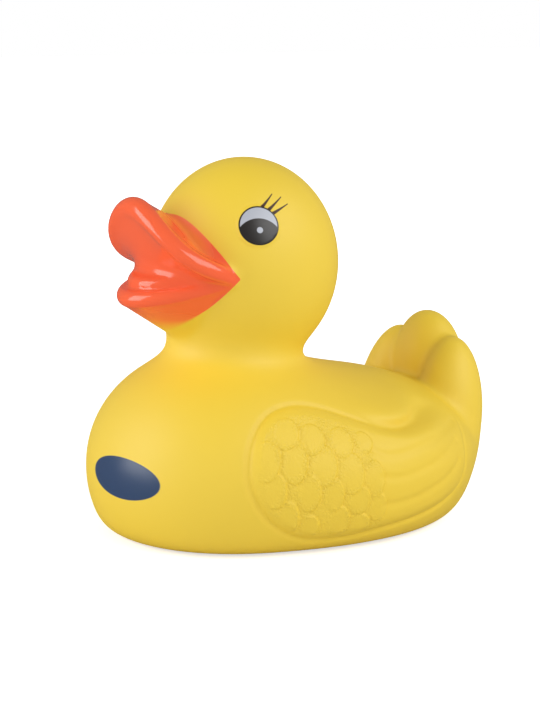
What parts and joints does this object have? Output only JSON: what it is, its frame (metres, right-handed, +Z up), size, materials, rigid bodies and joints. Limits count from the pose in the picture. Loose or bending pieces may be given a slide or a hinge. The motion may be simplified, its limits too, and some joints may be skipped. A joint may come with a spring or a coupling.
{
  "type": "bath toy duck",
  "caption": "Hollow soft-vinyl bath duck with a flared open beak, moulded wings and a lobed tail, standing on a flat base with a small air hole.",
  "frame": {"origin": "under the middle of the object's box, on the flat base", "axes": "+X forwards, the way the beak points; +Y to the duck's left; +Z up out of the base"},
  "size_m": [0.12, 0.0968, 0.1058],
  "materials": {
    "vinyl": "satin"
  },
  "bodies": {
    "root": {"duck_shell": "vinyl"}
  },
  "joints": []
}
